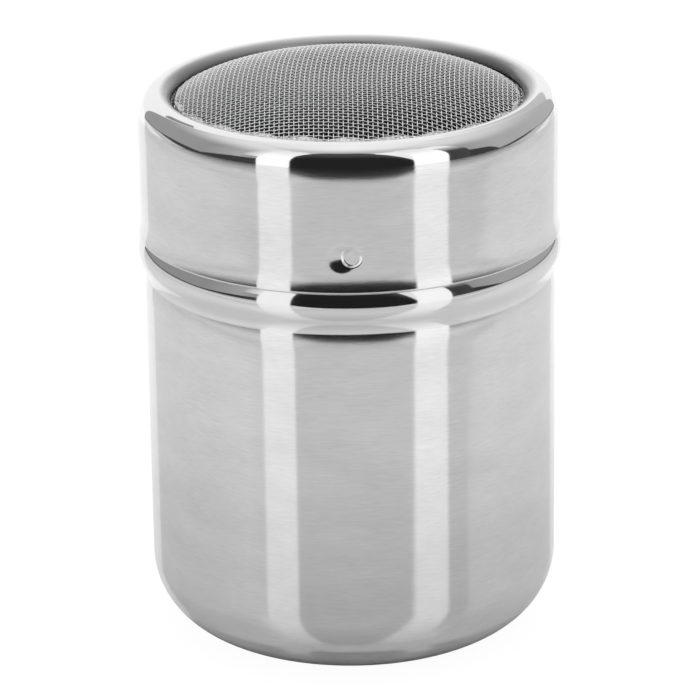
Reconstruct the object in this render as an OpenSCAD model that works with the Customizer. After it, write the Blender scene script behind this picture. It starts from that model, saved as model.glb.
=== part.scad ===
// Sugar caster: a deep-drawn steel cup, closed by a lid whose top is a domed wire sieve.
// Millimetres, +Z up. The origin is the centre of the base, on the table, and the front is -Y.

/* [Cup] */
// Outside diameter of the cup's wall
cup_d = 69; // [60:0.5:90]
// Height from the table to the lid's lower edge
seat_h = 69.9; // [50:0.1:110]
// Thickness of the cup's sheet
cup_sheet = 0.5; // [0.4:0.05:0.9]
// Radius of the corner between the wall and the base
base_corner_r = 12.5; // [6:0.5:18]
// Height of the neck above the lid's lower edge
neck_h = 12; // [8:0.5:13]
// Radius of the bend at the neck's root
neck_root_r = 0.8; // [0.5:0.1:1]

/* [Bead] */
// How far the bead stands out past the lid's wall
bead_proud = 0.5; // [0.4:0.05:0.7]
// Drop from the lid's lower edge to the bead's widest line
bead_drop = 2.9; // [2.5:0.1:3.4]
// Height of the sweep from the groove out to the bead
bead_sweep_h = 4.2; // [3.6:0.1:6]
// Depth of the groove under the bead
groove_in = 0.2; // [0.1:0.05:0.3]
// Height of the groove's run back out to the wall
groove_h = 2; // [1.5:0.1:3]

/* [Lid] */
// How far the lid's wall stands out past the cup's wall
lid_step = 0.5; // [0.3:0.05:0.8]
// Height of the lid from its lower edge to the rim's crest
lid_h = 24.25; // [23:0.25:40]
// Thickness of the lid's sheet
lid_sheet = 0.5; // [0.4:0.05:0.7]
// How far the lower edge flares out
flare_w = 0.35; // [0.25:0.05:0.45]
// Height of the flare
flare_h = 3; // [2.4:0.1:3.6]
// Radius of the shoulder's long lead-in
lead_r = 20; // [14:1:30]
// Radius of the shoulder's tight bend
shoulder_r = 3.2; // [2.6:0.1:3.3]
// Distance from the lid's wall in to the rim's crest
crest_in = 3.5; // [3.4:0.1:4.5]
// Radius of the lip, which rolls down into the opening
lip_r = 2.1; // [1.5:0.1:3]

/* [Grip pips] */
// Number of dents that grip the neck
pip_count = 3; // [2:1:6]
// Diameter of a dent
pip_d = 3.6; // [3:0.1:4.4]
// Depth of a dent
pip_depth = 0.75; // [0.6:0.05:0.9]
// Height of a dent above the lid's lower edge
pip_rise = 6.1; // [4:0.1:8]

/* [Sieve] */
// Height of the sieve's crown above the rim's crest
crown_h = 4.5; // [3:0.25:7]
// Diameter of a wire
wire_d = 0.45; // [0.3:0.05:0.5]
// Distance between wires
wire_pitch = 3.1; // [3:0.1:5]
// Turn of the cloth about the axis, in degrees
cloth_turn = -2.5; // [-45:0.5:45]
// Width of the crushed hem that shows inside the lip
hem_show = 0.9; // [0.8:0.05:1.5]
// Width of the hem that lies under the rim
hem_hid = 3.2; // [2.5:0.1:3.4]

/* [Clamp ring] */
// Thickness of the ring's sheet
ring_sheet = 0.5; // [0.4:0.05:0.8]
// Radius of the ring's corner
ring_corner_r = 1; // [0.9:0.1:1.5]
// Straight height of the ring's skirt
ring_skirt_h = 4.5; // [2:0.5:5]

/* [Fits] */
// Gap between the lid's lower edge and the bead
seat_gap = 0.3; // [0.2:0.05:0.4]
// Gap between a pip and the neck
pip_gap = 0.2; // [0.1:0.05:0.4]
// Gap between the hem and the sheets that hold it
hem_gap = 0.05; // [0.02:0.01:0.1]
// Gap between the clamp ring and the lid's wall
ring_gap = 0.25; // [0.2:0.05:0.4]
// Gap between the two layers of wire
layer_gap = 0.05; // [0.04:0.01:0.1]

/* [Hidden] */
$fn = 96;
arc_step = 7.5;

// Radii and heights of the lid's sheet
cup_r = cup_d / 2;
lid_r = cup_r + lid_step;
lid_in_r = lid_r - lid_sheet;
flare_r = (flare_w * flare_w + flare_h * flare_h) / (2 * flare_w);
flare_a = asin(flare_h / flare_r);
flare_z = seat_h + flare_h;
crest_r = lid_r - crest_in;
crest_z = seat_h + lid_h;
shoulder_z = crest_z - shoulder_r;
lead_x = lid_r - lead_r;
lead_reach = lead_r - shoulder_r;
lead_a = acos((crest_r - lead_x) / lead_reach);
lead_z = shoulder_z - lead_reach * sin(lead_a);
lip_in_r = crest_r - lip_r;
lip_z = crest_z - lip_r;

// The dents are spherical, and the sheet keeps its thickness round them
pip_ball_r = (pip_d * pip_d / 4 + pip_depth * pip_depth) / (2 * pip_depth);
pip_ball_x = lid_r + pip_ball_r - pip_depth;
pip_z = seat_h + pip_rise;

// Inner corner of the lid's lower edge, which sits over the bead
edge_r = lid_r + flare_r - (flare_r + lid_sheet) * cos(flare_a);
edge_z = flare_z - (flare_r + lid_sheet) * sin(flare_a);

// The bead's crown passes under that corner, and runs on into the neck
bead_r = lid_r + bead_proud;
bead_z = seat_h - bead_drop;
crown_w = bead_r - edge_r;
crown_rise = edge_z - seat_gap - bead_z;
crown_r = (crown_w * crown_w + crown_rise * crown_rise) / (2 * crown_w);
crown_x = bead_r - crown_r;
neck_r = lid_in_r - pip_depth - pip_gap;
neck_top = seat_h + neck_h;
root_x = neck_r + neck_root_r;
root_a = acos((root_x - crown_x) / (crown_r + neck_root_r));
root_z = bead_z + (crown_r + neck_root_r) * sin(root_a);

// The sweep below the bead is two equal arcs, hollow then full, up from the groove's narrowest line
groove_in_r = cup_r - groove_in;
sweep_w = bead_r - groove_in_r;
sweep_r = (bead_sweep_h * bead_sweep_h + sweep_w * sweep_w) / (4 * sweep_w);
sweep_a = asin(bead_sweep_h / (2 * sweep_r));
sweep_z = bead_z - bead_sweep_h;

// The groove runs back out to the wall by two equal arcs too
groove_r = (groove_h * groove_h + groove_in * groove_in) / (4 * groove_in);
groove_a = asin(groove_h / (2 * groove_r));
groove_z = sweep_z - groove_h;

// The hem lies under the lip's end, on the clamp ring's flange
hem_skin = 0.1;
hem_in_r = lip_in_r - hem_show;
hem_out_r = lip_in_r + hem_hid;
hem_t = 2 * (wire_d + layer_gap + hem_skin);
hem_top = lip_z - hem_gap;
hem_low = hem_top - hem_t;
ring_top = hem_low - hem_gap;
ring_out_r = lid_in_r - ring_gap;
ring_in_r = lip_in_r;

// Each layer of wire lies on a sphere, whose wires end inside the hem
wire_end_r = hem_in_r + (hem_show - wire_d) / 2 + wire_d / 2;
layer_step = wire_d + layer_gap;
warp_end_z = hem_low + hem_skin + wire_d / 2;
warp_top_z = crest_z + crown_h - wire_d / 2 - layer_step;
dome_sag = warp_top_z - warp_end_z;
warp_ball_r = (wire_end_r * wire_end_r + dome_sag * dome_sag) / (2 * dome_sag);
weft_ball_r = warp_ball_r + layer_step;
dome_z = warp_top_z - warp_ball_r;
wire_side = floor((hem_in_r - wire_d) / wire_pitch);

// Points along an arc about (r, z), after its first point, up to its last
function arc(r, z, radius, from, to) = [
    let (steps = ceil(abs(to - from) / arc_step))
    for (k = [1 : steps])
        let (a = from + (to - from) * k / steps)
        [r + radius * cos(a), z + radius * sin(a)]
];

// A path's points in the other order
function backwards(path) = [for (k = [len(path) - 1 : -1 : 0]) path[k]];

// The cup's profile, a depth into its sheet: base, corner, wall, groove, sweep, bead and neck
function cup_path(depth) = concat(
    [[0, depth], [cup_r - base_corner_r, depth]],
    arc(cup_r - base_corner_r, base_corner_r, base_corner_r - depth, -90, 0),
    [[cup_r - depth, groove_z]],
    arc(cup_r - groove_r, groove_z, groove_r - depth, 0, groove_a),
    arc(groove_in_r + groove_r, sweep_z, groove_r + depth, 180 + groove_a, 180),
    arc(groove_in_r + sweep_r, sweep_z, sweep_r + depth, 180, 180 - sweep_a),
    arc(bead_r - sweep_r, bead_z, sweep_r - depth, -sweep_a, 0),
    arc(crown_x, bead_z, crown_r - depth, 0, root_a),
    arc(root_x, root_z, neck_root_r + depth, 180 + root_a, 180),
    [[neck_r - depth, neck_top]]
);

// The lid's profile, a depth into its sheet: flare, wall, shoulder, and the lip in the opening
function lid_path(depth) = concat(
    [[lid_r + flare_r - (flare_r + depth) * cos(flare_a), flare_z - (flare_r + depth) * sin(flare_a)]],
    arc(lid_r + flare_r, flare_z, flare_r + depth, 180 + flare_a, 180),
    [[lid_r - depth, lead_z]],
    arc(lead_x, lead_z, lead_r - depth, 0, lead_a),
    arc(crest_r, shoulder_z, shoulder_r - depth, lead_a, 90),
    arc(crest_r, lip_z, lip_r - depth, 90, 180)
);

// The clamp ring's profile, a depth into its sheet: flange, corner and skirt
function ring_path(depth) = concat(
    [[ring_in_r, ring_top - depth], [ring_out_r - ring_corner_r, ring_top - depth]],
    arc(ring_out_r - ring_corner_r, ring_top - ring_corner_r, ring_corner_r - depth, 90, 0),
    [[ring_out_r - depth, ring_top - ring_corner_r - ring_skirt_h]]
);

// Turned sheet metal between an outer path and an inner one
module turned_sheet(outer, inner) {
    rotate_extrude() polygon(concat(outer, backwards(inner)));
}

// Puts its children at each grip pip, the first at the front
module at_pips() {
    for (k = [0 : pip_count - 1])
        rotate([0, 0, -90 + k * 360 / pip_count])
            translate([pip_ball_x, 0, pip_z])
                children();
}

// One wire of a layer: an arc over the dome at a distance from its middle
module wire(x, ball_r) {
    arc_r = sqrt(ball_r * ball_r - x * x);
    half_a = asin(sqrt(wire_end_r * wire_end_r - x * x) / arc_r);
    translate([x, 0, dome_z])
        rotate([90, 0, 90])
            rotate([0, 0, 90 - half_a])
                rotate_extrude(angle = 2 * half_a)
                    translate([arc_r, 0])
                        circle(d = wire_d);
}

// A layer of parallel wires
module wire_layer(ball_r) {
    for (k = [-wire_side : wire_side])
        wire(k * wire_pitch, ball_r);
}

// Deep-drawn cup
module cup() {
    color("silver") turned_sheet(cup_path(0), cup_path(cup_sheet));
}

// Drawn lid with its rolled rim, dented inwards at the grip pips
module lid_shell() {
    color("gainsboro") difference() {
        union() {
            turned_sheet(lid_path(0), lid_path(lid_sheet));
            intersection() {
                at_pips() sphere(pip_ball_r + lid_sheet);
                translate([0, 0, flare_z]) cylinder(r = lid_r - lid_sheet / 2, h = lead_z - flare_z);
            }
        }
        at_pips() sphere(pip_ball_r);
    }
}

// Domed wire cloth: two layers of crossed wires, held by a crushed hem
module sieve_cloth() {
    color("darkgray") rotate([0, 0, cloth_turn]) {
        rotate_extrude() translate([hem_in_r, hem_low]) square([hem_out_r - hem_in_r, hem_t]);
        wire_layer(warp_ball_r);
        rotate([0, 0, 90]) wire_layer(weft_ball_r);
    }
}

// Pressed ring inside the lid, which holds the hem up under the lip
module clamp_ring() {
    color("lightgray") turned_sheet(ring_path(0), ring_path(ring_sheet));
}

cup();
lid_shell();
sieve_cloth();
clamp_ring();
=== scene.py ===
"""Sugar caster: a brushed steel cup, and a lid whose top is a domed sieve of woven wire.

Each piece is a surface worked out on a grid of two parameters: a sheet's outline turned about the axis, or a
round wire carried along a path over the dome. Lengths are metres, +Z is up and the front is -Y.
"""

import math

import bpy
import numpy as np
from mathutils import Matrix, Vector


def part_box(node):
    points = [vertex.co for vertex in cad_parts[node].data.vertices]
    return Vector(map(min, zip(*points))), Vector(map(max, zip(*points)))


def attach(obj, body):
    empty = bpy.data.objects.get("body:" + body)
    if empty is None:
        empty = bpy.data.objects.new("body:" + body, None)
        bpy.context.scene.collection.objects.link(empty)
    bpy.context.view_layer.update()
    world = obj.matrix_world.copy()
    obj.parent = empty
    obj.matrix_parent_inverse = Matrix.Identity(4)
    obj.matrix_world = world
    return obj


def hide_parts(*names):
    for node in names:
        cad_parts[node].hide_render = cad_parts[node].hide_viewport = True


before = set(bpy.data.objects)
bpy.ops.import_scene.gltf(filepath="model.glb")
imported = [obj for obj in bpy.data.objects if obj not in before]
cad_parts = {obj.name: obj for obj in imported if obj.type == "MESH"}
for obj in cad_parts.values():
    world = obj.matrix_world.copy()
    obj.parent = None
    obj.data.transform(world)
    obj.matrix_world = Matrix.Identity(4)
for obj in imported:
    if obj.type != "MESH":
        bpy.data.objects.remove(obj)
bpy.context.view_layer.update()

MM = 0.001

# Places read from the frame
cup_low, cup_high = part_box("cup")
lid_low, lid_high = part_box("lid_shell")
ring_low, ring_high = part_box("clamp_ring")
BEAD_R = (cup_high.x - cup_low.x) / 2
NECK_TOP = cup_high.z
FLARE_OUT_R = (lid_high.x - lid_low.x) / 2
CREST_Z = lid_high.z
RING_OUT_R = (ring_high.x - ring_low.x) / 2
RING_TOP = ring_high.z
RING_LOW = ring_low.z

# Sheet metal
SHEET = 0.5 * MM
EDGE_BULGE = 0.1 * MM

# Lid: flared lower edge, wall, long lead-in, tight shoulder, and the lip rolled down into the opening
FLARE_W = 0.35 * MM
FLARE_H = 3.4 * MM
LID_H = 24.25 * MM
LEAD_R = 20.0 * MM
SHOULDER_R = 3.2 * MM
CREST_IN = 3.5 * MM
LIP_DROP = 2.1 * MM
LIP_STEEP = math.radians(86.0)
# Painted shade on the rolled lip: greys that fall from the crest down to the sieve, where the crevice lies
# in shade
LIP_SHADE_GREYS = {0.0: 0.04, 0.3: 0.2, 0.5: 0.31, 0.75: 0.39, 0.9: 0.49, 0.97: 0.66, 1.0: 0.83}
LID_R = FLARE_OUT_R - FLARE_W
SEAT_Z = CREST_Z - LID_H
CREST_R = LID_R - CREST_IN
LIP_IN_R = CREST_R - LIP_DROP
LIP_Z = CREST_Z - LIP_DROP
SHOULDER_FINISH_Z = SEAT_Z + 20.6 * MM

# Cup: base corner, wall, groove, sweep out to the bead, crown, and the neck inside the lid
LID_STEP = 0.5 * MM
BASE_CORNER_R = 12.5 * MM
BEAD_DROP = 2.9 * MM
SWEEP_H = 4.35 * MM
GROOVE_IN = 0.31 * MM
GROOVE_H = 3.4 * MM
CROWN_R = 5.3 * MM
NECK_IN = 0.95 * MM
ROOT_R = 0.8 * MM
CUP_R = LID_R - LID_STEP
BEAD_Z = SEAT_Z - BEAD_DROP
GROOVE_R = CUP_R - GROOVE_IN
SWEEP_Z = BEAD_Z - SWEEP_H
GROOVE_Z = SWEEP_Z - GROOVE_H
NECK_R = LID_R - SHEET - NECK_IN
BEAD_FINISH_Z = SWEEP_Z

# Grip pips: a round dent with a steep side and a flat middle, and a hollow drawn in beside it
PIP_COUNT = 3
PIP_TURN = math.radians(0.4)
PIP_Z = SEAT_Z + 6.1 * MM
PIP_R = 1.8 * MM
PIP_DEPTH = 0.25 * MM
PIP_FOOT_W = 0.28 * MM
PIP_SIDE_W = 0.6 * MM
PIP_TOP_W = 1.5 * MM
DISH_R = 2.7 * MM
DISH_DEPTH = 0.46 * MM
DISH_SIDE = -1.6 * MM
DISH_DOWN = -0.2 * MM
PIP_REACH = 4.2 * MM

# Sieve: plain-woven round wire, pressed into a dome and held by its crushed hem
COLUMN_WIRE_R = 0.107 * MM
ROW_WIRE_R = 0.101 * MM
COLUMN_PITCH = 0.795 * MM
ROW_PITCH = 0.89 * MM
COLUMN_CRIMP = 0.115 * MM
ROW_CRIMP = 0.045 * MM
CLOTH_TURN = math.radians(-2.3)
CLOTH_FAN = 0.0042 / MM
CLOTH_BOW = 0.0019 / MM
BOW_Y = -11.0 * MM
DOME_R = LIP_IN_R - 0.9 * MM
DOME_FOOT = LIP_Z + 0.45 * MM
DOME_RISE = 4.36 * MM
DOME_POWER = 3.5
DOME_SIDE = -0.35 * MM
FOOT_BEND = 1.2 / MM
WIRE_END_R = LIP_IN_R + 0.9 * MM
HEM_REACH = 1.1 * MM
HEM_FRONT_REACH = 1.4 * MM
HEM_WAVE = 0.25 * MM
HEM_WAVES = 23
HEM_THIN = 0.2
HEM_END_BULGE = 0.02
HEM_SHADE_R = LIP_IN_R - 0.3 * MM
HEM_BLEND = 0.8 * MM
HEM_DIP = 0.13 * MM
HEM_OUT_R = LIP_IN_R + 3.2 * MM
HEM_TOP = LIP_Z - 0.05 * MM
HEM_T = 0.4 * MM
ROW_SPREAD = 1.1
COLUMN_SPREAD = 1.15
LAST_ROW = int(ROW_SPREAD * WIRE_END_R / ROW_PITCH)
LAST_COLUMN = int(COLUMN_SPREAD * WIRE_END_R / COLUMN_PITCH)

# Clamp ring
RING_CORNER_R = 1.0 * MM

# Divisions of the surfaces: spokes round the axis, and steps along an edge, a band, a wire or a panel
EDGE_STEPS = 9
CUP_SPOKES = 256
RING_SPOKES = 192
PIP_SPOKES = 76
BETWEEN_SPOKES = 42
HEM_SPOKES = 960
HEM_STEPS = 40
HEM_END_STEPS = 7
WIRE_SIDES = 6
WIRE_STEPS = 300
TRIAL_STEPS = 2001
TRIAL_REACH = 1.2
LEAST_TRIAL_STEPS = 40
TABLE_SPOKES = 64
PANEL_ACROSS = 48
PANEL_UP = 24

# Small lengths: points nearer than the first are one, and a slope is measured over the second
SAME_PLACE = 1e-8
SLOPE_STEP = 0.02 * MM

# Finishes: grains of the noise are counted per metre, round the axis and up it
FINE_AROUND = 480.0
FINE_UP = 7000.0
BROAD_AROUND = 60.0
BROAD_UP = 160.0
BROAD_SHARE = 0.4
SOFT_GRAIN = 220.0
CRUSHED_GRAIN = 2600.0
BRUSHED_VARIES = 0.08
PLAIN_VARIES = 0.15
NOISE_LOW = 0.3
NOISE_HIGH = 0.7

# Places of the colour sockets on a Mix node
MIX_FIRST_COLOUR = 6
MIX_SECOND_COLOUR = 7
MIX_RESULT_COLOUR = 2

# Table: its paint, with a painted contact shadow close to the caster, and a painted spill of lamplight on it
TABLE_R = 4.0
PAINTED_SPILL = 0.14
PAINTED_SPILL_FROM = 70 * MM
PAINTED_SPILL_TO = 150 * MM
WHITE = 0.86
# Painted contact shadow: the paint's white falls to this for rays that reach it from close by
CONTACT_SHADOW_WHITE = 0.69
CONTACT_SHADOW_FROM = 6 * MM
CONTACT_SHADOW_TO = 22 * MM

# Studio panels: distances in metres, and degrees from the camera's side, with the right side positive
PANEL_R = 0.6
CEILING_R = 0.65
FRONT_R = 0.45
LEFT_STRIP_IN = -31
LEFT_STRIP_OUT = -49
LEFT_NEAR_START = -58
LEFT_FAR_END = -84
LEFT_FAR_START = -143
RIGHT_STRIP_IN = 34.3
RIGHT_STRIP_OUT = 53.4
RIGHT_GAP_END = 66
RIGHT_NEAR_END = 86
RIGHT_FAR_END = 150
STRIP_TOP = 64
FOOT_GLOW = 0.58

# Camera, fitted to the outline of the caster
CAMERA_DISTANCE = 0.700
CAMERA_RISE = math.radians(20.07)
CAMERA_ROLL = math.radians(0.807)
CAMERA_AIM = (-0.226 * MM, 0.0, 47.52 * MM)
FOCAL_PIXELS = 4120.5
IMAGE_PIXELS = 700
SENSOR_W = 36.0
CLIP_NEAR = 0.01
CLIP_FAR = 50.0


def line(start, stop, count):
    """Straight run: evenly spaced (radius, height) points from one end to the other."""
    t = np.linspace(0.0, 1.0, count)[:, None]
    return (1 - t) * np.array(start) + t * np.array(stop)


def arc(centre_r, centre_z, radius, start, stop, count):
    """Arc about a centre: points at one radius, evenly spaced from one angle in radians to another."""
    a = np.linspace(start, stop, count)
    return np.column_stack([centre_r + radius * np.cos(a), centre_z + radius * np.sin(a)])


def joined(*runs):
    """Runs set end to end, without the points that repeat."""
    points = np.vstack(runs)
    step = np.linalg.norm(np.diff(points, axis=0), axis=1)
    return points[np.concatenate([[True], step > SAME_PLACE])]


def cut_edge(start, stop, outward):
    """Edge of a sheet: half an ellipse from one face to the other, which bulges along a unit
    direction."""
    middle = (np.array(start) + np.array(stop)) / 2
    half = np.array(start) - middle
    t = np.linspace(0.0, math.pi, EDGE_STEPS)[:, None]
    return middle + np.cos(t) * half + np.sin(t) * EDGE_BULGE * np.array(outward)


def cup_run(depth):
    """Cup's outline at a depth into its sheet, from the middle of the base up to the neck: each bend is
    an arc whose radius grows by the depth where it is hollow and shrinks by it where it is full."""
    half_turn = math.pi
    sweep_w = BEAD_R - GROOVE_R
    sweep_r = (SWEEP_H**2 + sweep_w**2) / (4 * sweep_w)
    sweep_a = math.asin(SWEEP_H / (2 * sweep_r))
    groove_r = (GROOVE_H**2 + GROOVE_IN**2) / (2 * GROOVE_IN)
    groove_a = math.asin(GROOVE_H / groove_r)
    corner_x = CUP_R - BASE_CORNER_R
    crown_x = BEAD_R - CROWN_R
    root_x = NECK_R + ROOT_R
    root_a = math.acos((root_x - crown_x) / (CROWN_R + ROOT_R))
    root_z = BEAD_Z + (CROWN_R + ROOT_R) * math.sin(root_a)
    return joined(
        line((0.0, depth), (corner_x, depth), count=8),
        arc(corner_x, BASE_CORNER_R, BASE_CORNER_R - depth, -half_turn / 2, 0.0, count=40),
        line((CUP_R - depth, BASE_CORNER_R), (CUP_R - depth, GROOVE_Z), count=24),
        arc(CUP_R - groove_r, GROOVE_Z, groove_r - depth, 0.0, groove_a, count=20),
        arc(GROOVE_R + sweep_r, SWEEP_Z, sweep_r + depth, half_turn, half_turn - sweep_a, count=18),
        arc(BEAD_R - sweep_r, BEAD_Z, sweep_r - depth, -sweep_a, 0.0, count=18),
        arc(crown_x, BEAD_Z, CROWN_R - depth, 0.0, root_a, count=18),
        arc(root_x, root_z, ROOT_R + depth, half_turn + root_a, half_turn, count=8),
        line((NECK_R - depth, root_z), (NECK_R - depth, NECK_TOP - EDGE_BULGE), count=8),
    )


def lid_run(depth, detail):
    """Lid's outline at a depth into its sheet, in two runs of arcs: from the lower edge up to the crest,
    and from there down to the lip's end. The wall is finely divided at the height of the grip pips, and
    the detail says how finely all is."""
    half_turn = math.pi
    flare_r = (FLARE_H**2 + FLARE_W**2) / (2 * FLARE_W)
    flare_start = half_turn + math.asin((FLARE_H - EDGE_BULGE) / flare_r)
    flare_z = SEAT_Z + FLARE_H
    lead_x = LID_R - LEAD_R
    lead_reach = LEAD_R - SHOULDER_R
    lead_a = math.acos((CREST_R - lead_x) / lead_reach)
    shoulder_z = CREST_Z - SHOULDER_R
    lead_z = shoulder_z - lead_reach * math.sin(lead_a)
    wall_r = LID_R - depth
    crest = half_turn / 2
    shoulder = joined(
        arc(LID_R + flare_r, flare_z, flare_r + depth, flare_start, half_turn, count=2 + 9 * detail),
        line((wall_r, flare_z), (wall_r, PIP_Z + PIP_REACH), count=2 + 28 * detail),
        line((wall_r, PIP_Z + PIP_REACH), (wall_r, lead_z), count=6),
        arc(lead_x, lead_z, LEAD_R - depth, 0.0, lead_a, count=2 + 6 * detail),
        arc(CREST_R, shoulder_z, SHOULDER_R - depth, lead_a, crest, count=2 + 17 * detail),
    )
    lip = arc(CREST_R, LIP_Z, LIP_DROP - depth, crest, crest + LIP_STEEP, count=2 + 14 * detail)
    return shoulder, lip


def ring_run(depth):
    """Clamp ring's outline at a depth into its sheet, from the foot of its skirt up round the corner and
    in."""
    corner_x = RING_OUT_R - RING_CORNER_R
    corner_z = RING_TOP - RING_CORNER_R
    return joined(
        line((RING_OUT_R - depth, RING_LOW + EDGE_BULGE), (RING_OUT_R - depth, corner_z), count=8),
        arc(corner_x, corner_z, RING_CORNER_R - depth, 0.0, math.pi / 2, count=12),
        line((corner_x, RING_TOP - depth), (LIP_IN_R + EDGE_BULGE, RING_TOP - depth), count=8),
    )


def even_angles(count):
    """Even angles round the axis."""
    return np.arange(count) * 2 * math.pi / count


def pip_angles():
    """Angles of the grip pips, even round the axis from the front."""
    return PIP_TURN - math.pi / 2 + even_angles(PIP_COUNT)


def lid_angles():
    """Angles round the lid: fine steps across each grip pip, and coarse ones from there to the next."""
    reach = PIP_REACH / LID_R
    third = 2 * math.pi / PIP_COUNT
    fine = np.linspace(-reach, reach, PIP_SPOKES, endpoint=False)
    coarse = np.linspace(reach, third - reach, BETWEEN_SPOKES, endpoint=False)
    return (pip_angles()[:, None] + np.concatenate([fine, coarse])).ravel()


def dent_depth(angle, height):
    """How far the lid's sheet is pressed in at an angle and a height: a dent, whose side is a straight
    slope that is steep at the foot and grows wider up to the top, and a hollow beside it, which falls as
    the square of one less the squared share of its radius, and is level upwards inside the dent."""
    turn = (angle[..., None] - pip_angles() + math.pi) % (2 * math.pi) - math.pi
    nearest = np.abs(turn).argmin(axis=-1)
    across = LID_R * np.take_along_axis(turn, nearest[..., None], axis=-1)[..., 0]
    up = height - PIP_Z
    away = np.hypot(across, up)
    lift = up / np.maximum(away, PIP_FOOT_W)
    side_w = PIP_SIDE_W + (PIP_SIDE_W - PIP_FOOT_W) * np.clip(lift, -1, 0)
    side_w = side_w + (PIP_TOP_W - PIP_SIDE_W) * np.clip(lift, 0, 1)
    slope = np.clip((PIP_R - away) / side_w, 0, 1)
    dish_up = (up - DISH_DOWN) * (1 - slope)
    dish = np.clip(1 - ((across - DISH_SIDE)**2 + dish_up**2) / DISH_R**2, 0, None)
    return PIP_DEPTH * slope + DISH_DEPTH * dish**2


def dome_height(x, y):
    """Height of the sieve's middle surface: the foot's level plus a rise that falls with a power of the
    distance from the dome's own middle, a little to one side. Past its foot it bends down, as the square
    of the distance, to the flat hem."""
    share = np.hypot(x - DOME_SIDE, y) / DOME_R
    past = np.clip(np.hypot(x, y) - DOME_R, 0, None)
    dome = DOME_FOOT + DOME_RISE * (1 - share**DOME_POWER) - FOOT_BEND * past**2
    return np.maximum(dome, HEM_TOP - HEM_T / 2)


def unit(vectors):
    """Vectors brought to a length of one."""
    return vectors / np.linalg.norm(vectors, axis=-1, keepdims=True)


def dome_normal(x, y):
    """Upward normal of the sieve's middle surface, from its heights a small step to each side."""
    slope_x = (dome_height(x + SLOPE_STEP, y) - dome_height(x - SLOPE_STEP, y)) / (2 * SLOPE_STEP)
    slope_y = (dome_height(x, y + SLOPE_STEP) - dome_height(x, y - SLOPE_STEP)) / (2 * SLOPE_STEP)
    return unit(np.stack([-slope_x, -slope_y, np.ones_like(x)], axis=-1))


def mesh_piece(name, points, quads, triangles=(), slots=None, materials=()):
    """Object at the origin with these points and faces, smooth all over, with one material slot per
    face."""
    quads = np.asarray(quads, np.int32).reshape(-1, 4)
    triangles = np.asarray(triangles, np.int32).reshape(-1, 3)
    corners = np.concatenate([quads.ravel(), triangles.ravel()])
    sizes = np.concatenate([np.full(len(quads), 4), np.full(len(triangles), 3)]).astype(np.int32)
    starts = np.concatenate([[0], np.cumsum(sizes)[:-1]]).astype(np.int32)
    mesh = bpy.data.meshes.new(name)
    mesh.vertices.add(len(points))
    mesh.vertices.foreach_set("co", np.asarray(points, np.float32).ravel())
    mesh.loops.add(len(corners))
    mesh.loops.foreach_set("vertex_index", corners)
    mesh.polygons.add(len(sizes))
    mesh.polygons.foreach_set("loop_start", starts)
    mesh.polygons.foreach_set("loop_total", sizes)
    for material in materials:
        mesh.materials.append(material)
    if slots is not None:
        mesh.polygons.foreach_set("material_index", np.asarray(slots, np.int32))
    mesh.polygons.foreach_set("use_smooth", np.ones(len(sizes), bool))
    mesh.update(calc_edges=True)
    mesh.validate()
    obj = bpy.data.objects.new(name, mesh)
    bpy.context.scene.collection.objects.link(obj)
    return obj


def grid_quads(rows, columns, wrap_rows):
    """Quads of a grid whose columns close on themselves, and whose rows do too where asked."""
    i = np.arange(rows if wrap_rows else rows - 1)[:, None]
    j = np.arange(columns)[None, :]
    here = i * columns
    below = (i + 1) % rows * columns
    right = (j + 1) % columns
    return np.stack([here + j, here + right, below + right, below + j], axis=-1)


def turned(outline, angles, pressed=None):
    """Points of a turned sheet: each outline point at each angle, at its radius less how far it is
    pressed in."""
    radius = np.repeat(outline[:, :1], len(angles), axis=1)
    height = np.repeat(outline[:, 1:], len(angles), axis=1)
    angle = np.repeat(angles[None, :], len(outline), axis=0)
    if pressed is not None:
        radius = radius - pressed(angle, height)
    return np.stack([radius * np.cos(angle), radius * np.sin(angle), height], axis=-1)


def make_cup(materials):
    """Cup: its outer outline up, over the neck's edge, and its inner outline down, turned about the axis.
    The two ends lie on the axis and close as fans. Slots: brushed wall, polished bead, plain inside."""
    outer, inner = cup_run(0.0), cup_run(SHEET)[::-1]
    outline = joined(outer, cut_edge(outer[-1], inner[0], (0.0, 1.0)), inner)
    rows = outline[1:-1]
    inner_start = len(outline) - len(inner) - 1
    angles = even_angles(CUP_SPOKES)
    columns = len(angles)
    points = turned(rows, angles).reshape(-1, 3)
    quads = grid_quads(len(rows), columns, False)
    low, high = len(points), len(points) + 1
    points = np.vstack([points, [0, 0, outline[0, 1]], [0, 0, outline[-1, 1]]])
    first = np.arange(columns)
    after = (first + 1) % columns
    last = (len(rows) - 1) * columns
    foot_fan = np.stack([np.full(columns, low), after, first], axis=-1)
    floor_fan = np.stack([np.full(columns, high), last + first, last + after], axis=-1)
    finish = np.where(rows[:-1, 1] >= BEAD_FINISH_Z, 1, 0)
    finish = np.where(np.arange(len(rows) - 1) >= inner_start, 2, finish)
    slots = np.concatenate([np.repeat(finish, columns), np.zeros(columns), np.full(columns, 2)])
    return mesh_piece("cup_body", points, quads, np.vstack([foot_fan, floor_fan]), slots, materials)


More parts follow.
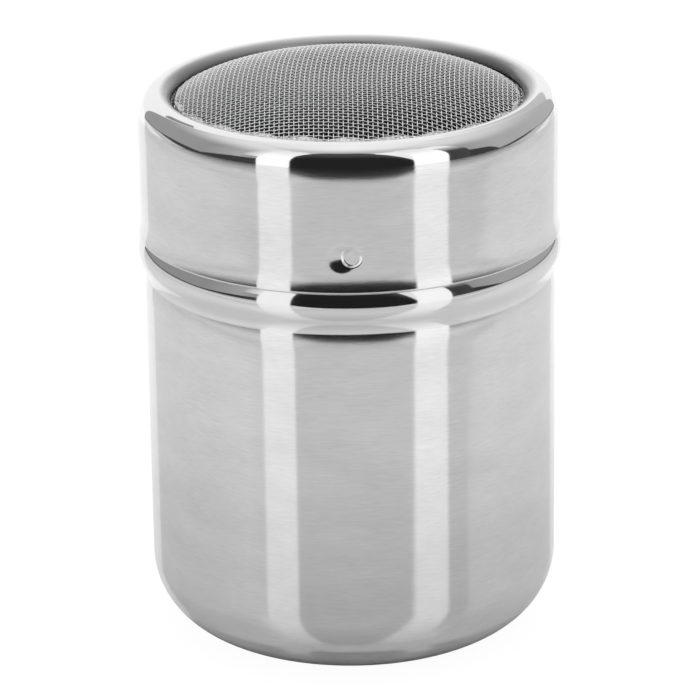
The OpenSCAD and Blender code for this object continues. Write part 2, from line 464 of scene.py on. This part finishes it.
def make_lid(materials):
    """Lid: its outer outline up and over to the lip's end, and its inner outline back, turned about the
    axis and pressed in at the grip pips. Slots: brushed wall, polished shoulder, satin lip with painted
    shade towards the sieve, and plain inside darkened as painted shade.
    The inside's finish starts in the middle of the lip's edge and ends a quarter of the way round the
    lower edge."""
    shoulder, lip = lid_run(0.0, 2)
    outer = joined(shoulder, lip)
    inner = joined(*lid_run(SHEET, 1))[::-1]
    lower_way = outer[0] - outer[1]
    lower_way = lower_way / np.linalg.norm(lower_way)
    lip_edge = cut_edge(outer[-1], inner[0], (0.0, -1.0))
    lower_edge = cut_edge(inner[-1], outer[0], lower_way)
    outline = joined(outer, lip_edge, inner, lower_edge)[:-1]
    angles = lid_angles()
    points = turned(outline, angles, dent_depth)
    quads = grid_quads(len(outline), len(angles), True)
    row = np.arange(len(outline))
    inside_start = len(outer) - 1 + EDGE_STEPS // 2
    inside_stop = len(outline) - (EDGE_STEPS - 1) + EDGE_STEPS // 4
    finish = np.where(outline[:, 1] >= SHOULDER_FINISH_Z, 1, 0)
    finish = np.where(row >= len(shoulder), 2, finish)
    finish = np.where(row >= inside_start, 3, finish)
    finish = np.where(row >= inside_stop, 0, finish)
    slots = np.repeat(finish, len(angles))
    return mesh_piece("lid_body", points.reshape(-1, 3), quads, slots=slots, materials=materials)


def make_ring(material):
    """Clamp ring: its outer outline up and in, and its inner outline back, turned about the axis."""
    outer, inner = ring_run(0.0), ring_run(SHEET)[::-1]
    flange_edge = cut_edge(outer[-1], inner[0], (-1.0, 0.0))
    skirt_edge = cut_edge(inner[-1], outer[0], (0.0, -1.0))
    outline = joined(outer, flange_edge, inner, skirt_edge)[:-1]
    angles = even_angles(RING_SPOKES)
    points = turned(outline, angles).reshape(-1, 3)
    quads = grid_quads(len(outline), len(angles), True)
    return mesh_piece("clamp_ring_body", points, quads, materials=[material])


def make_hem(materials):
    """Crushed hem: a thin band with rounded edges that lies along the dome's foot and flat under the rim.
    Its inner edge waves as a sine of the angle, and reaches farther in at the front, by the square of the
    share that it faces there. It thins away into the wires, and its faces dip where the cloth had holes,
    as the product of two sine waves. Slots: bright on the dome's foot, and dark in the gap by the rim and
    under it, which is painted shade."""
    t = np.linspace(0.0, 1.0, HEM_STEPS)
    end = np.linspace(0.0, math.pi, HEM_END_STEPS)[1:-1]
    bulge = HEM_END_BULGE * np.sin(end)
    share = np.concatenate([t, 1 + bulge, t[::-1], -bulge])[:, None]
    side = np.concatenate([np.ones(HEM_STEPS), np.cos(end), -np.ones(HEM_STEPS), -np.cos(end)])[:, None]
    angle = even_angles(HEM_SPOKES)
    front = np.clip(-np.sin(angle), 0, None)**2
    inner_r = LIP_IN_R - HEM_REACH - HEM_FRONT_REACH * front - HEM_WAVE * np.sin(HEM_WAVES * angle)
    radius = HEM_OUT_R + (inner_r - HEM_OUT_R) * share
    x, y = radius * np.cos(angle), radius * np.sin(angle)
    thick = HEM_T / 2 * (HEM_THIN + (1 - HEM_THIN) * np.clip((radius - inner_r) / HEM_BLEND, 0, 1))
    dip = np.abs(np.sin(math.pi * x / COLUMN_PITCH) * np.sin(math.pi * y / ROW_PITCH))
    z = dome_height(x, y) + side * (thick - HEM_DIP * dip)
    points = np.stack([x, y, z], axis=-1)
    quads = grid_quads(len(radius), len(angle), True)
    slots = np.where(radius < HEM_SHADE_R, 0, 1).ravel()
    return mesh_piece("sieve_hem", points.reshape(-1, 3), quads, slots=slots, materials=materials)


def wire_place(front_to_back, offset, along):
    """Plan of the pressed cloth, at an offset from its middle wire and a place along the wire. The
    front-to-back wires bow to the right as a square of the distance behind a line, and the side-to-side
    wires fan about a turn that grows towards the back."""
    u, v = (offset, along) if front_to_back else (along, offset)
    x = u + CLOTH_BOW * np.clip(v - BOW_Y, 0, None)**2
    y = v + u * (CLOTH_TURN + CLOTH_FAN * v)
    return x, y


def wire_runs(front_to_back, index):
    """Even places along each wire of one set, from where it first lies within the hem to where it last
    does. The wires are tried along a longer run, and those with hardly any of it within the hem are left
    out."""
    pitch = COLUMN_PITCH if front_to_back else ROW_PITCH
    offset = np.repeat(index[:, None] * pitch, TRIAL_STEPS, axis=1)
    trial = np.linspace(-TRIAL_REACH * WIRE_END_R, TRIAL_REACH * WIRE_END_R, TRIAL_STEPS)
    reach = np.repeat(trial[None, :], len(index), axis=0)
    inside = np.hypot(*wire_place(front_to_back, offset, reach)) < WIRE_END_R
    keep = inside.sum(axis=1) > LEAST_TRIAL_STEPS
    index, inside, reach, offset = index[keep], inside[keep], reach[keep], offset[keep, :WIRE_STEPS]
    start = np.take_along_axis(reach, inside.argmax(axis=1)[:, None], axis=1)
    stop = np.take_along_axis(reach[:, ::-1], inside[:, ::-1].argmax(axis=1)[:, None], axis=1)
    along = start + (stop - start) * np.linspace(0.0, 1.0, WIRE_STEPS)
    return index, offset, along


def make_tubes(name, path, normal, wire_r, material):
    """Round wires along paths: a ring of points round each place, square to the path and turned to the
    dome's normal. Each end closes on the path's own end as a fan."""
    heading = unit(np.gradient(path, axis=1))
    sideways = unit(np.cross(normal, heading))
    upward = np.cross(heading, sideways)
    a = even_angles(WIRE_SIDES)[:, None]
    ring = np.cos(a) * sideways[..., None, :] + np.sin(a) * upward[..., None, :]
    points = (path[..., None, :] + wire_r * ring).reshape(-1, 3)
    one = grid_quads(WIRE_STEPS, WIRE_SIDES, False).reshape(-1, 4)
    head = np.arange(len(path))[:, None] * WIRE_STEPS * WIRE_SIDES
    tail = head + (WIRE_STEPS - 1) * WIRE_SIDES
    quads = (head[..., None] + one[:, ::-1]).reshape(-1, 4)
    head_tip = len(points) + np.arange(len(path))[:, None]
    tail_tip = head_tip + len(path)
    points = np.vstack([points, path[:, 0], path[:, -1]])
    first = np.arange(WIRE_SIDES)
    after = (first + 1) % WIRE_SIDES
    head_fan = np.broadcast_arrays(head_tip, head + first, head + after)
    tail_fan = np.broadcast_arrays(tail_tip, tail + after, tail + first)
    caps = np.concatenate([np.stack(fan, axis=-1).reshape(-1, 3) for fan in (head_fan, tail_fan)])
    return mesh_piece(name, points, quads, caps, materials=[material])


def make_wires(name, front_to_back, first, last, material):
    """Part of one set of the cloth's wires. A wire keeps its place in the cloth and runs over the dome
    from hem to hem. It rides over and under the crossing wires as a cosine of their pitch, along the
    dome's normal, and each next wire, and the other set, is half a wave behind."""
    crossing = ROW_PITCH if front_to_back else COLUMN_PITCH
    crimp, wire_r = (COLUMN_CRIMP, COLUMN_WIRE_R) if front_to_back else (ROW_CRIMP, ROW_WIRE_R)
    index, offset, along = wire_runs(front_to_back, np.arange(first, last + 1))
    x, y = wire_place(front_to_back, offset, along)
    normal = dome_normal(x, y)
    turn = np.where(index % 2 == 0, 1.0, -1.0)[:, None] * (-1.0 if front_to_back else 1.0)
    weave = crimp * turn * np.cos(math.pi * along / crossing)
    path = np.stack([x, y, dome_height(x, y)], axis=-1) + weave[..., None] * normal
    return make_tubes(name, path, normal, wire_r, material)


class Finish:
    """A material's node tree, with short ways to add a node, to link two, and to join what repeats."""

    def __init__(self, name):
        self.material = bpy.data.materials.new(name)
        self.material.use_nodes = True
        self.tree = self.material.node_tree
        self.tree.nodes.clear()
        self.output = self.tree.nodes.new("ShaderNodeOutputMaterial")

    def add(self, kind, **settings):
        """A node with its own settings and its sockets' values, by their names."""
        node = self.tree.nodes.new(kind)
        for key, value in settings.items():
            if hasattr(node, key):
                setattr(node, key, value)
            else:
                node.inputs[key.replace("_", " ")].default_value = value
        return node

    def link(self, source, target):
        """A wire from a node's output to another's input."""
        self.tree.links.new(source, target)

    def shown(self, shader):
        """The material, once this shader is its surface."""
        self.link(shader, self.output.inputs["Surface"])
        return self.material

    def streaks(self, around, up, detail=3.0):
        """Noise on Object coordinates that are scaled one way round the axis and another along it."""
        place = self.add("ShaderNodeTexCoord")
        stretch = self.add("ShaderNodeMapping", Scale=(around, around, up))
        noise = self.add("ShaderNodeTexNoise", Scale=1.0, Detail=detail, Roughness=0.6)
        self.link(place.outputs["Object"], stretch.inputs["Vector"])
        self.link(stretch.outputs["Vector"], noise.inputs["Vector"])
        return noise.outputs["Fac"]

    def between(self, noise, low, high):
        """The span that most of a noise lies in, spread over a range."""
        spread = self.add("ShaderNodeMapRange", From_Min=NOISE_LOW, From_Max=NOISE_HIGH, To_Min=low,
                          To_Max=high)
        self.link(noise, spread.inputs["Value"])
        return spread.outputs["Result"]

    def tint(self, noise, dark, light, shader):
        """The shader's colour: a grey between two levels of steel, by a noise."""
        mix = self.add("ShaderNodeMix", data_type="RGBA")
        mix.inputs[MIX_FIRST_COLOUR].default_value = (dark, dark, dark, 1.0)
        mix.inputs[MIX_SECOND_COLOUR].default_value = (light, light, light, 1.0)
        self.link(self.between(noise, 0.0, 1.0), mix.inputs["Factor"])
        self.link(mix.outputs[MIX_RESULT_COLOUR], shader.inputs["Base Color"])

    def gloss(self, noise, roughness, varies, shader):
        """The shader's roughness: it varies to each side by a share, by a noise."""
        rough = self.between(noise, roughness * (1 - varies), roughness * (1 + varies))
        self.link(rough, shader.inputs["Roughness"])

    def mixed(self, first, second, share):
        """Two shaders mixed by a share: the first at 0, the second at 1."""
        mix = self.add("ShaderNodeMixShader")
        self.link(share, mix.inputs["Fac"])
        self.link(first, mix.inputs[1])
        self.link(second, mix.inputs[2])
        return mix.outputs["Shader"]


def brushed_steel(name, dark, light, roughness, rise):
    """Steel brushed round the axis: fine streaks, long round the wall and thin up it, vary the grey and
    the gloss and raise a slight bump. The gloss spreads across the streaks far more than along them."""
    finish = Finish(name)
    shader = finish.add("ShaderNodeBsdfPrincipled", Metallic=1.0, Anisotropic=1.0, Anisotropic_Rotation=0.25)
    fine = finish.streaks(FINE_AROUND, FINE_UP)
    broad = finish.streaks(BROAD_AROUND, BROAD_UP, detail=2.0)
    fine_part = finish.add("ShaderNodeMath", operation="MULTIPLY")
    fine_part.inputs[1].default_value = 1 - BROAD_SHARE
    finish.link(fine, fine_part.inputs[0])
    grain = finish.add("ShaderNodeMath", operation="MULTIPLY_ADD")
    grain.inputs[1].default_value = BROAD_SHARE
    finish.link(broad, grain.inputs[0])
    finish.link(fine_part.outputs["Value"], grain.inputs[2])
    finish.tint(grain.outputs["Value"], dark, light, shader)
    finish.gloss(fine, roughness, BRUSHED_VARIES, shader)
    bump = finish.add("ShaderNodeBump", Strength=1.0, Distance=rise)
    finish.link(fine, bump.inputs["Height"])
    finish.link(bump.outputs["Normal"], shader.inputs["Normal"])
    tangent = finish.add("ShaderNodeTangent", direction_type="RADIAL", axis="Z")
    finish.link(tangent.outputs["Tangent"], shader.inputs["Tangent"])
    return finish.shown(shader.outputs["BSDF"])


def plain_steel(name, dark, light, roughness, grain=SOFT_GRAIN):
    """Steel with no direction in its finish: noise of one grain varies the grey and the gloss."""
    finish = Finish(name)
    shader = finish.add("ShaderNodeBsdfPrincipled", Metallic=1.0)
    cloud = finish.streaks(grain, grain)
    finish.tint(cloud, dark, light, shader)
    finish.gloss(cloud, roughness, PLAIN_VARIES, shader)
    return finish.shown(shader.outputs["BSDF"])


def painted_shade_lip_finish(name, levels, roughness):
    """Satin steel of the rolled lip, with painted shade: its grey falls from light on the crest to dark down
    by the sieve, where the crevice lies in shade. The levels are greys at shares of the lip's height. Faint
    noise varies the gloss."""
    finish = Finish(name)
    shader = finish.add("ShaderNodeBsdfPrincipled", Metallic=1.0)
    place = finish.add("ShaderNodeTexCoord")
    parts = finish.add("ShaderNodeSeparateXYZ")
    finish.link(place.outputs["Object"], parts.inputs["Vector"])
    share = finish.add("ShaderNodeMapRange", From_Min=LIP_Z, From_Max=CREST_Z)
    finish.link(parts.outputs["Z"], share.inputs["Value"])
    fall = finish.add("ShaderNodeValToRGB")
    stops = fall.color_ramp.elements
    stops.remove(stops[1])
    stops[0].color = (levels[0.0], levels[0.0], levels[0.0], 1.0)
    for place_up, grey in list(levels.items())[1:]:
        stops.new(place_up).color = (grey, grey, grey, 1.0)
    finish.link(share.outputs["Result"], fall.inputs["Fac"])
    finish.link(fall.outputs["Color"], shader.inputs["Base Color"])
    cloud = finish.streaks(SOFT_GRAIN, SOFT_GRAIN)
    finish.gloss(cloud, roughness, PLAIN_VARIES, shader)
    return finish.shown(shader.outputs["BSDF"])


def seen_by(finish, *ray_kinds):
    """1 on rays of these kinds, such as the camera's, and 0 on others."""
    path = finish.add("ShaderNodeLightPath")
    total = path.outputs[ray_kinds[0]]
    for kind in ray_kinds[1:]:
        larger = finish.add("ShaderNodeMath", operation="MAXIMUM")
        finish.link(total, larger.inputs[0])
        finish.link(path.outputs[kind], larger.inputs[1])
        total = larger.outputs["Value"]
    return total


def table_paint(finish):
    """Glossy white paint, dimmer to a reflection from close by, as painted contact shadow that the caster's
    base corner mirrors.
    """
    # Painted contact shadow: the paint darkens for rays that reach it from close by
    ray = finish.add("ShaderNodeLightPath")
    white = finish.add("ShaderNodeMapRange", From_Min=CONTACT_SHADOW_FROM, From_Max=CONTACT_SHADOW_TO, To_Min=CONTACT_SHADOW_WHITE,
                       To_Max=WHITE)
    finish.link(ray.outputs["Ray Length"], white.inputs["Value"])
    paint = finish.add("ShaderNodeBsdfPrincipled", Roughness=0.12, IOR=3.0)
    finish.link(white.outputs["Result"], paint.inputs["Base Color"])
    return paint.outputs["BSDF"]


def table_backdrop(finish):
    """Mostly plain white, and the rest matte paint that keeps the caster's shadow."""
    matte = finish.add("ShaderNodeBsdfDiffuse", Color=(0.9, 0.9, 0.9, 1.0))
    white = finish.add("ShaderNodeEmission", Color=(1.0, 1.0, 1.0, 1.0), Strength=1.03)
    backdrop = finish.add("ShaderNodeMixShader", Fac=0.93)
    finish.link(matte.outputs["BSDF"], backdrop.inputs[1])
    finish.link(white.outputs["Emission"], backdrop.inputs[2])
    return backdrop.outputs["Shader"]


def table_painted_spill(finish):
    """Painted lamplight that reflections see on the table, glowing from the paint itself: none near the
    caster, and more with the distance from it."""
    place = finish.add("ShaderNodeTexCoord")
    away = finish.add("ShaderNodeVectorMath", operation="LENGTH")
    finish.link(place.outputs["Object"], away.inputs[0])
    spill = finish.add("ShaderNodeMapRange", From_Min=PAINTED_SPILL_FROM, From_Max=PAINTED_SPILL_TO, To_Min=0.0,
                       To_Max=PAINTED_SPILL)
    finish.link(away.outputs["Value"], spill.inputs["Value"])
    share = finish.add("ShaderNodeMath", operation="MULTIPLY")
    finish.link(spill.outputs["Result"], share.inputs[0])
    finish.link(seen_by(finish, "Is Glossy Ray"), share.inputs[1])
    # A painted glow in the table's paint, not a lamp: light that reflections see on the table
    painted_lamplight = finish.add("ShaderNodeEmission", Color=(1.0, 1.0, 1.0, 1.0))
    finish.link(share.outputs["Value"], painted_lamplight.inputs["Strength"])
    return painted_lamplight.outputs["Emission"]


def table_finish():
    """White table top: glossy paint with a painted contact shadow and a painted spill of lamplight to
    reflections, the backdrop's white to the camera, and clear from below."""
    finish = Finish("white_table")
    to_camera = seen_by(finish, "Is Camera Ray", "Is Transmission Ray")
    seen = finish.mixed(table_paint(finish), table_backdrop(finish), to_camera)
    lit = finish.add("ShaderNodeAddShader")
    finish.link(seen, lit.inputs[0])
    finish.link(table_painted_spill(finish), lit.inputs[1])
    clear = finish.add("ShaderNodeBsdfTransparent")
    side = finish.add("ShaderNodeNewGeometry")
    top = finish.mixed(lit.outputs["Shader"], clear.outputs["BSDF"], side.outputs["Backfacing"])
    return finish.shown(top)


def make_table():
    """Round table top under the caster: a fan of triangles about the axis."""
    a = even_angles(TABLE_SPOKES)
    rim = np.stack([TABLE_R * np.cos(a), TABLE_R * np.sin(a), np.zeros(TABLE_SPOKES)], axis=-1)
    points = np.vstack([rim, [0.0, 0.0, 0.0]])
    first = np.arange(TABLE_SPOKES)
    fan = np.stack([np.full(TABLE_SPOKES, TABLE_SPOKES), first, (first + 1) % TABLE_SPOKES], axis=-1)
    table = mesh_piece("table_top", points, [], fan, materials=[table_finish()])


def panel_finish():
    """Light of the studio's panels: as strong at each place as the panel's own glow attribute says."""
    finish = Finish("studio_light")
    glow = finish.add("ShaderNodeAttribute", attribute_name="glow")
    light = finish.add("ShaderNodeEmission", Color=(1.0, 1.0, 1.0, 1.0))
    finish.link(glow.outputs["Fac"], light.inputs["Strength"])
    finish.material.cycles.emission_sampling = "NONE"
    return finish.shown(light.outputs["Emission"])


def between_sides(ends, share):
    """One value all along, or a straight run from the left side's value to the right side's."""
    left, right = np.broadcast_to(ends, 2)
    return left + (right - left) * share


def make_panel(name, light, sides, low, high, glow, top_glow=None, fade_from=0.5, radius=PANEL_R,
               round_left=(0.0, 2), round_right=(0.0, 2), round_foot=0.0):
    """Studio panel: part of a sphere about the caster's foot, between two angles from the camera's side
    and between a lower and an upper rise, in degrees. A rise or glow is one value, or a pair for the left
    and the right side. The ends may be rounded off by a power of the distance from the middle, at the top
    by an amount and a power for each side, and at the foot by the fourth power. The glow may fade to
    another by a smooth step from a share of the height up to the top. Only reflections see it."""
    across, up = np.meshgrid(np.linspace(0.0, 1.0, PANEL_ACROSS + 1), np.linspace(0.0, 1.0, PANEL_UP + 1))
    azimuth = np.radians(between_sides(sides, across))
    aside = 2 * across - 1
    foot = between_sides(low, across) + round_foot * aside**4
    left_drop = round_left[0] * aside**round_left[1]
    right_drop = round_right[0] * aside**round_right[1]
    head = between_sides(high, across) - np.where(aside < 0, left_drop, right_drop)
    rise = np.radians(foot + (head - foot) * up)
    x = np.sin(azimuth) * np.cos(rise)
    y = -np.cos(azimuth) * np.cos(rise)
    points = radius * np.stack([x, y, np.sin(rise)], axis=-1).reshape(-1, 3)
    row = PANEL_ACROSS + 1
    corner = np.arange(PANEL_UP)[:, None] * row + np.arange(PANEL_ACROSS)
    quads = np.stack([corner, corner + row, corner + row + 1, corner + 1], axis=-1)
    panel = mesh_piece(name, points, quads, materials=[light])
    strength = between_sides(glow, across)
    if top_glow is not None:
        fade = np.clip((up - fade_from) / (1 - fade_from), 0, 1)
        strength = strength + (top_glow - strength) * fade**2 * (3 - 2 * fade)
    field = panel.data.attributes.new("glow", "FLOAT", "POINT")
    field.data.foreach_set("value", strength.astype(np.float32).ravel())
    panel.visible_camera = False
    panel.visible_diffuse = False
    panel.visible_transmission = False
    panel.visible_volume_scatter = False
    panel.visible_shadow = False


def make_front(light):
    """Front of the studio: a dark panel with rounded ends, a grey foot behind its lower corners, and a
    tall bright strip at each side."""
    make_panel("dark_front", light, sides=(-30.4, 33.7), low=(1.0, 0.0), high=65, glow=0.018, top_glow=0.09,
               fade_from=0.55, radius=FRONT_R, round_left=(20.0, 8), round_right=(52.0, 3), round_foot=5.0)
    make_panel("front_foot", light, sides=(LEFT_STRIP_IN, RIGHT_STRIP_IN), low=0, high=9, glow=0.5)
    make_panel("left_strip", light, sides=(LEFT_STRIP_OUT, LEFT_STRIP_IN), low=0, high=STRIP_TOP,
               glow=1.17, top_glow=0.95)
    make_panel("right_strip", light, sides=(RIGHT_STRIP_IN, RIGHT_STRIP_OUT), low=0, high=STRIP_TOP,
               glow=1.24, top_glow=0.9, fade_from=0.4)


def make_right_side(light):
    """Right side: a dark gap beside the strip, then grey flats that grow lighter upwards over a dark
    skirting, which is a wedge by the gap. A pale foot runs along the table under them, and one more flat
    turns round the back."""
    gap = (RIGHT_STRIP_OUT, RIGHT_GAP_END)
    near = (RIGHT_GAP_END, RIGHT_NEAR_END)
    far = (RIGHT_NEAR_END, RIGHT_FAR_END)
    make_panel("right_gap", light, gap, low=(4.6, 3.9), high=(50, 46), glow=(0.05, 0.07), top_glow=0.6)
    make_panel("right_wedge", light, near, low=(3.9, 2.7), high=(16, 4.0), glow=0.05)
    make_panel("right_flat_near", light, near, low=(16, 4.0), high=70, glow=(0.36, 0.45), top_glow=0.8,
               fade_from=0.45)
    make_panel("right_flat", light, far, low=(4.0, 3.2), high=(70, 66), glow=(0.44, 0.5), top_glow=0.8,
               fade_from=0.42)
    make_panel("right_skirting", light, far, low=(2.7, 2.2), high=(4.0, 3.2), glow=0.06)
    make_panel("right_foot", light, (gap[0], near[1]), low=0, high=(4.6, 2.7), glow=FOOT_GLOW)
    make_panel("right_foot_end", light, far, low=0, high=(2.7, 2.2), glow=FOOT_GLOW)
    make_panel("right_turn", light, (far[1], 172), low=(22, 27.5), high=(64, 45), glow=(0.58, 0.6),
               top_glow=0.9, fade_from=0.3)


def make_left_side(light):
    """Left side: grey flats that grow lighter upwards, in two heights beside the strip, over a dark
    skirting that widens to a wedge there. A pale foot runs along the table under them, and a rail hangs
    round the back."""
    end = (LEFT_NEAR_START, LEFT_STRIP_OUT)
    near = (LEFT_FAR_END, LEFT_NEAR_START)
    far = (LEFT_FAR_START, LEFT_FAR_END)
    make_panel("left_wedge", light, (near[0], end[1]), low=(2.6, 4.6), high=(5.0, 14), glow=0.05)
    make_panel("left_flat_end", light, end, low=(11.7, 14), high=24, glow=(0.42, 0.34))
    make_panel("left_flat_head", light, end, low=24, high=66, glow=(0.6, 1.0), top_glow=0.9, fade_from=0.4)
    make_panel("left_flat_near", light, near, low=(5.0, 11.7), high=(70, 66), glow=(0.32, 0.46),
               top_glow=0.85)
    make_panel("left_flat", light, far, low=(3.2, 5.0), high=(66, 70), glow=(0.35, 0.34), top_glow=0.85)
    make_panel("left_skirting", light, far, low=(2.2, 2.6), high=(3.2, 5.0), glow=0.05)
    make_panel("left_foot", light, (near[0], end[1]), low=0, high=(2.6, 4.6), glow=FOOT_GLOW)
    make_panel("left_foot_end", light, far, low=0, high=(2.2, 2.6), glow=FOOT_GLOW)
    make_panel("left_rail", light, sides=(-157, -145), low=(37, 36), high=(44, 48), glow=(0.45, 0.15))


def make_studio():
    """White room round a white table, with panels that the steel mirrors: the front with its two strips,
    the right and the left side, and a ceiling in two halves that is dimmer towards the camera and white
    overhead."""
    make_table()
    light = panel_finish()
    make_front(light)
    make_right_side(light)
    make_left_side(light)
    make_panel("ceiling_left", light, sides=(-180, 0), low=60, high=90, glow=(1.0, 0.5), top_glow=1.0,
               fade_from=0.15, radius=CEILING_R)
    make_panel("ceiling_right", light, sides=(0, 180), low=60, high=90, glow=(0.5, 1.0), top_glow=1.0,
               fade_from=0.15, radius=CEILING_R)
    world = bpy.data.worlds.new("white_room")
    bpy.context.scene.world = world
    world.use_nodes = True
    background = world.node_tree.nodes["Background"]
    background.inputs["Color"].default_value = (1.0, 1.0, 1.0, 1.0)
    background.inputs["Strength"].default_value = 1.0


def make_camera():
    """Camera on a line of sight that drops at the rise's angle to the aim, turned about that line by the
    roll."""
    ahead = np.array([0.0, math.cos(CAMERA_RISE), -math.sin(CAMERA_RISE)])
    right = np.array([1.0, 0.0, 0.0])
    up = np.cross(right, ahead)
    data = bpy.data.cameras.new("camera")
    data.sensor_width = SENSOR_W
    data.lens = FOCAL_PIXELS / IMAGE_PIXELS * SENSOR_W
    data.clip_start = CLIP_NEAR
    data.clip_end = CLIP_FAR
    camera = bpy.data.objects.new("camera", data)
    bpy.context.scene.collection.objects.link(camera)
    pose = np.eye(4)
    pose[:3, 0] = math.cos(CAMERA_ROLL) * right - math.sin(CAMERA_ROLL) * up
    pose[:3, 1] = math.sin(CAMERA_ROLL) * right + math.cos(CAMERA_ROLL) * up
    pose[:3, 2] = -ahead
    pose[:3, 3] = np.array(CAMERA_AIM) - CAMERA_DISTANCE * ahead
    camera.matrix_world = Matrix(pose)
    bpy.context.scene.camera = camera


def carry(piece, body, node):
    """The piece moves with a body, and stands for a solid of the frame."""
    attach(piece, body)
    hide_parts(node)


make_camera()
make_studio()

wall_steel = brushed_steel("brushed_wall", dark=0.62, light=0.78, roughness=0.08, rise=0.003 * MM)
rim_steel = plain_steel("polished_rim", dark=0.83, light=0.86, roughness=0.05)
bead_steel = plain_steel("polished_bead", dark=0.72, light=0.75, roughness=0.06)
# The lip's greys are painted shade, dark towards the sieve
lip_shade_steel = painted_shade_lip_finish("satin_lip_painted_shade", LIP_SHADE_GREYS, roughness=0.3)
cup_inside_steel = plain_steel("cup_inside", dark=0.46, light=0.54, roughness=0.34)
# The lid's inside is darker than the cup's, as painted shade under the sieve
shaded_lid_inside = plain_steel("lid_inside_painted_shade", dark=0.26, light=0.32, roughness=0.38)
wire_steel = plain_steel("sieve_wire", dark=0.90, light=0.97, roughness=0.15)
foot_steel = plain_steel("crushed_wire", dark=0.25, light=1.0, roughness=0.25, grain=CRUSHED_GRAIN)
# Dark grey of the hem in the gap by the rim and under it: painted shade
hem_shade_steel = plain_steel("crushed_hem_painted_shade", dark=0.16, light=0.26, roughness=0.42)
# The clamp ring's dark grey is painted shade under the sieve
ring_shade_steel = plain_steel("ring_sheet", dark=0.30, light=0.36, roughness=0.32)

carry(make_cup([wall_steel, bead_steel, cup_inside_steel]), "cup", "cup")
carry(make_lid([wall_steel, rim_steel, lip_shade_steel, shaded_lid_inside]), "lid", "lid_shell")
carry(make_ring(ring_shade_steel), "lid", "clamp_ring")
carry(make_hem([foot_steel, hem_shade_steel]), "lid", "sieve_cloth")
cloth_parts = (
    ("sieve_rows_front", False, -LAST_ROW, -1),
    ("sieve_rows_back", False, 0, LAST_ROW),
    ("sieve_columns_left", True, -LAST_COLUMN, -1),
    ("sieve_columns_right", True, 0, LAST_COLUMN),
)
for part_name, front_to_back, first_wire, last_wire in cloth_parts:
    wires = make_wires(part_name, front_to_back, first_wire, last_wire, wire_steel)
    carry(wires, "lid", "sieve_cloth")

view = bpy.context.scene.view_settings
view.view_transform = "Standard"
